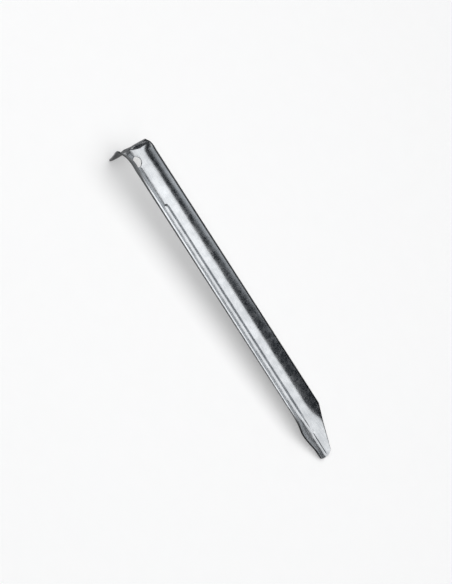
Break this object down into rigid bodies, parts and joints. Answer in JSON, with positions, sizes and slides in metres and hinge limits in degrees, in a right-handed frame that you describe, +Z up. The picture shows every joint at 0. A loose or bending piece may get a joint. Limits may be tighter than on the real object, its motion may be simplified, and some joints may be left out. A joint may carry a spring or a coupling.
{
  "type": "tent stake",
  "caption": "Half-round sheet-steel tent stake with a folded-back hook, a round hole under the hook, a pressed stiffening groove and a blunt tapered tip.",
  "frame": {"origin": "on the floor under the middle of the stake's bounding box, lying on its hook and its tip with the open side up", "axes": "+X along the stake from the hook to the tip, +Y across it, +Z up out of the open side"},
  "size_m": [0.31, 0.035, 0.0316],
  "materials": {
    "galvanised_steel": "galvanised zinc, satin, finely mottled"
  },
  "bodies": {
    "root": {"stake": "galvanised_steel"}
  },
  "joints": []
}
